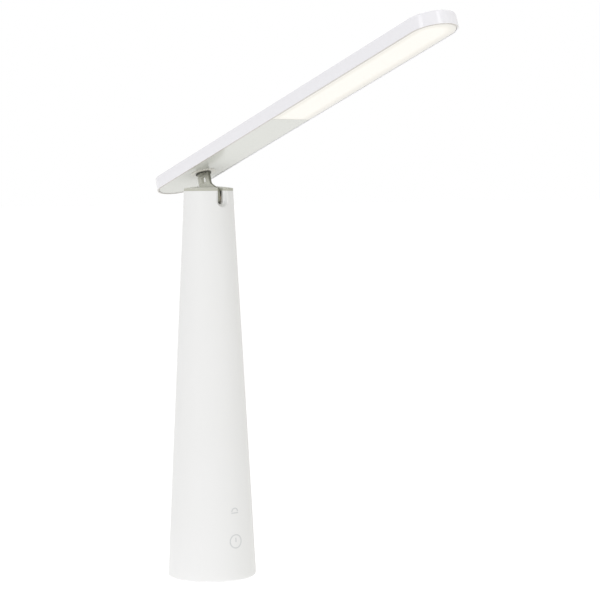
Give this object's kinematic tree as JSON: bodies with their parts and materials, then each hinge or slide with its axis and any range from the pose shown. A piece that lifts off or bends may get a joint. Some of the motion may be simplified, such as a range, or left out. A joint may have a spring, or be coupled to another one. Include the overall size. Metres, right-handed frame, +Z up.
{
  "type": "desk lamp",
  "caption": "Cordless desk lamp: tall white cone column on a ballasted foot, flat neck on a fold hinge in the rim, and a long flat round-ended LED head that tilts and swivels.",
  "frame": {"origin": "centre of the foot's underside, on the table", "axes": "+Z up along the column's axis; the head points to -Y; the lamp's mirror plane is X = 0"},
  "size_m": [0.0684, 0.3413, 0.4166],
  "materials": {
    "shell_white": "satin",
    "cap_grey": "matte",
    "steel_plated": "satin",
    "steel_dark": "satin",
    "bronze": "satin",
    "plate_white": "matte",
    "rubber_grey": "matte",
    "ballast_steel": "satin",
    "frame_grey": "matte",
    "cell_wrap": "gloss",
    "board_green": "satin",
    "chip_black": "satin",
    "socket_steel": "satin",
    "foam_black": "matte",
    "mark_grey": "matte",
    "lead_red": "satin",
    "neck_grey": "satin",
    "acetal_dark": "satin",
    "neck_trim": "matte",
    "cover_gloss": "gloss",
    "diffuser_warm": "satin",
    "bush_white": "satin",
    "spreader_alu": "satin",
    "reflector_white": "matte",
    "guide_clear": "polished",
    "board_white": "matte",
    "led_amber": "gloss"
  },
  "bodies": {
    "column": {"column_shell": "shell_white", "top_cap": "cap_grey", "hinge_bracket": "steel_plated", "cap_screws": "steel_dark", "fold_pin": "steel_plated", "friction_washers": "bronze", "spring_washer": "steel_plated", "fold_nut": "steel_plated", "base_plate": "plate_white", "foot_pad": "rubber_grey", "ballast": "ballast_steel", "base_screws": "steel_dark", "ballast_screws": "steel_dark", "inner_frame": "frame_grey", "frame_screws": "steel_dark", "battery_cell_left": "cell_wrap", "battery_cell_right": "cell_wrap", "battery_clamp": "frame_grey", "main_board": "board_green", "main_board_parts": "chip_black", "charge_board": "board_green", "charge_socket": "socket_steel", "touch_board": "board_green", "touch_pads": "foam_black", "touch_marks": "mark_grey", "column_lead": "lead_red"},
    "neck": {"neck_link": "neck_grey", "neck_cover": "neck_trim", "neck_lead": "lead_red", "thrust_washer": "acetal_dark", "wave_washer": "steel_plated", "retaining_clip": "steel_dark"},
    "head": {"head_housing": "shell_white", "rear_cover": "cover_gloss", "diffuser": "diffuser_warm", "swivel_bush": "bush_white", "swivel_bracket": "steel_plated", "bracket_screws": "steel_dark", "heat_spreader": "spreader_alu", "reflector_sheet": "reflector_white", "light_guide": "guide_clear", "guide_frame": "plate_white", "led_board_left": "board_white", "led_board_right": "board_white", "leds": "led_amber", "terminal_board": "board_green", "head_lead": "lead_red"}
  },
  "joints": [
    {"name": "neck_fold", "type": "hinge", "parent": "column", "child": "neck", "pos_m": [0, -0.011, 0.2945], "axis": [1, 0, 0], "range_deg": [-12, 107]},
    {"name": "head_swivel", "type": "hinge", "parent": "neck", "child": "head", "pos_m": [0, 0.00682, 0.31374], "axis": [0, 0.309, 0.9511], "range_deg": [-90, 90]}
  ]
}
